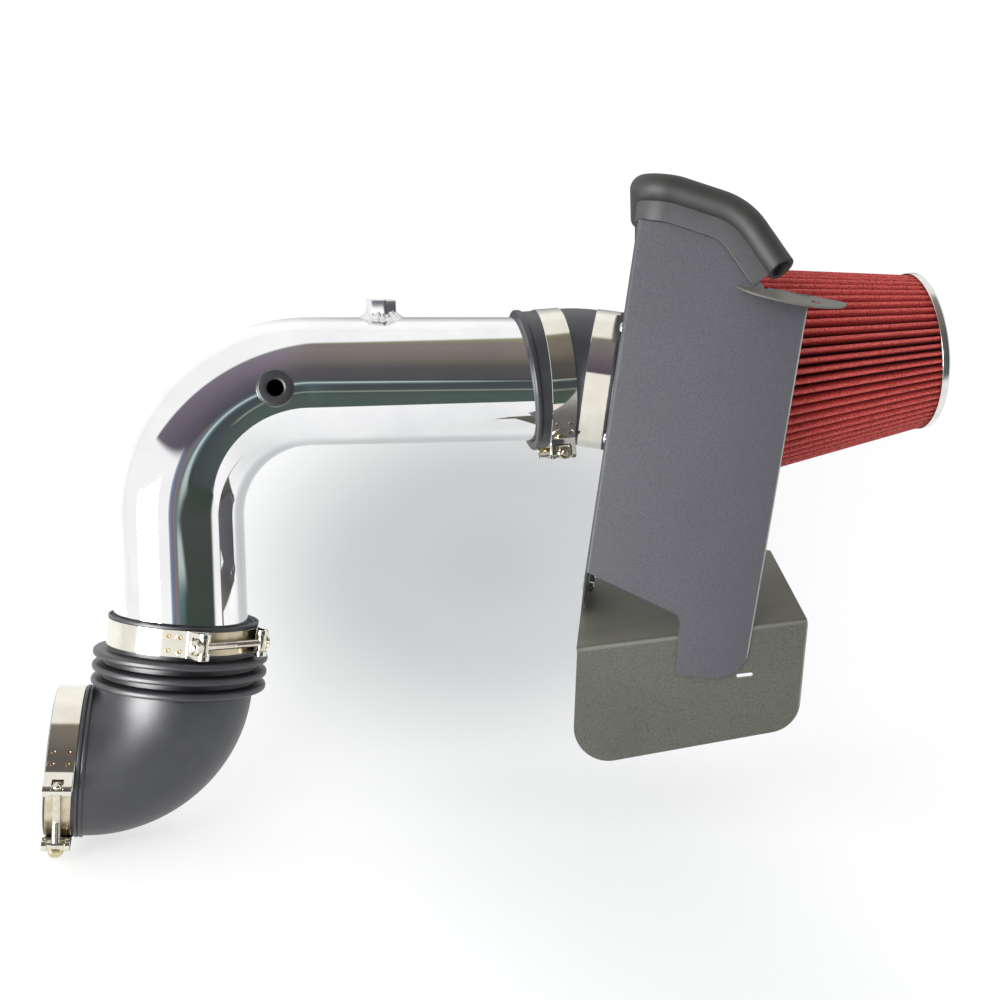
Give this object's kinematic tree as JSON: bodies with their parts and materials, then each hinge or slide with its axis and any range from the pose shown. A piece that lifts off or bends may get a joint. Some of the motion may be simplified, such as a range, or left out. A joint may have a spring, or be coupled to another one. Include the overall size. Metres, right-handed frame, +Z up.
{
  "type": "cold air intake pipe",
  "caption": "Polished bent intake pipe with a bellows rubber elbow below, T-bolt clamps, and an angled rubber coupler to a cone air filter behind a folded heat shield with a rubber edge seal.",
  "frame": {"origin": "centre of the elbow's outlet mouth, where it goes on the engine's inlet", "axes": "+Z up as fitted, +X along the pipe's long run towards the filter, -Y faces the engine (the seen side); the pipe's bend lies in a plane of X and Z"},
  "size_m": [0.7266, 0.3031, 0.5109],
  "materials": {
    "polished_aluminium": "mirror polished",
    "machined_aluminium": "machined",
    "hose_rubber": "smooth satin black",
    "grommet_rubber": "matt dark grey",
    "weatherstrip_rubber": "matt charcoal sponge",
    "stainless_band": "bright rolled",
    "zinc_steel": "zinc plated",
    "yellow_zinc": "yellow zinc plated",
    "powder_coat": "satin powder coat with fine grain",
    "base_powder_coat": "satin powder coat",
    "red_gauze": "oiled cotton gauze",
    "cap_chrome": "polished"
  },
  "bodies": {
    "root": {"adapter_nuts": "zinc_steel", "adapter_screws": "zinc_steel", "base_nuts": "zinc_steel", "base_screws": "zinc_steel", "clamp_coupler_in_band": "stainless_band", "clamp_coupler_in_bolt": "zinc_steel", "clamp_coupler_in_bridge": "stainless_band", "clamp_coupler_in_nut": "yellow_zinc", "clamp_coupler_in_trunnion": "zinc_steel", "clamp_coupler_out_band": "stainless_band", "clamp_coupler_out_bolt": "zinc_steel", "clamp_coupler_out_bridge": "stainless_band", "clamp_coupler_out_nut": "yellow_zinc", "clamp_coupler_out_trunnion": "zinc_steel", "clamp_elbow_in_band": "stainless_band", "clamp_elbow_in_bolt": "zinc_steel", "clamp_elbow_in_bridge": "stainless_band", "clamp_elbow_in_nut": "yellow_zinc", "clamp_elbow_in_trunnion": "zinc_steel", "clamp_elbow_out_band": "stainless_band", "clamp_elbow_out_bolt": "zinc_steel", "clamp_elbow_out_bridge": "stainless_band", "clamp_elbow_out_nut": "yellow_zinc", "clamp_elbow_out_trunnion": "zinc_steel", "coupler_hose": "hose_rubber", "elbow_hose": "hose_rubber", "filter_adapter": "machined_aluminium", "filter_base": "hose_rubber", "filter_core": "zinc_steel", "filter_end_cap": "cap_chrome", "filter_media": "red_gauze", "heat_shield_base": "base_powder_coat", "heat_shield_panel": "powder_coat", "intake_pipe": "polished_aluminium", "neck_clamp_band": "stainless_band", "neck_clamp_housing": "stainless_band", "neck_clamp_screw": "zinc_steel", "pipe_grommet": "grommet_rubber", "sensor_bung": "machined_aluminium", "weatherstrip": "weatherstrip_rubber"}
  },
  "joints": []
}
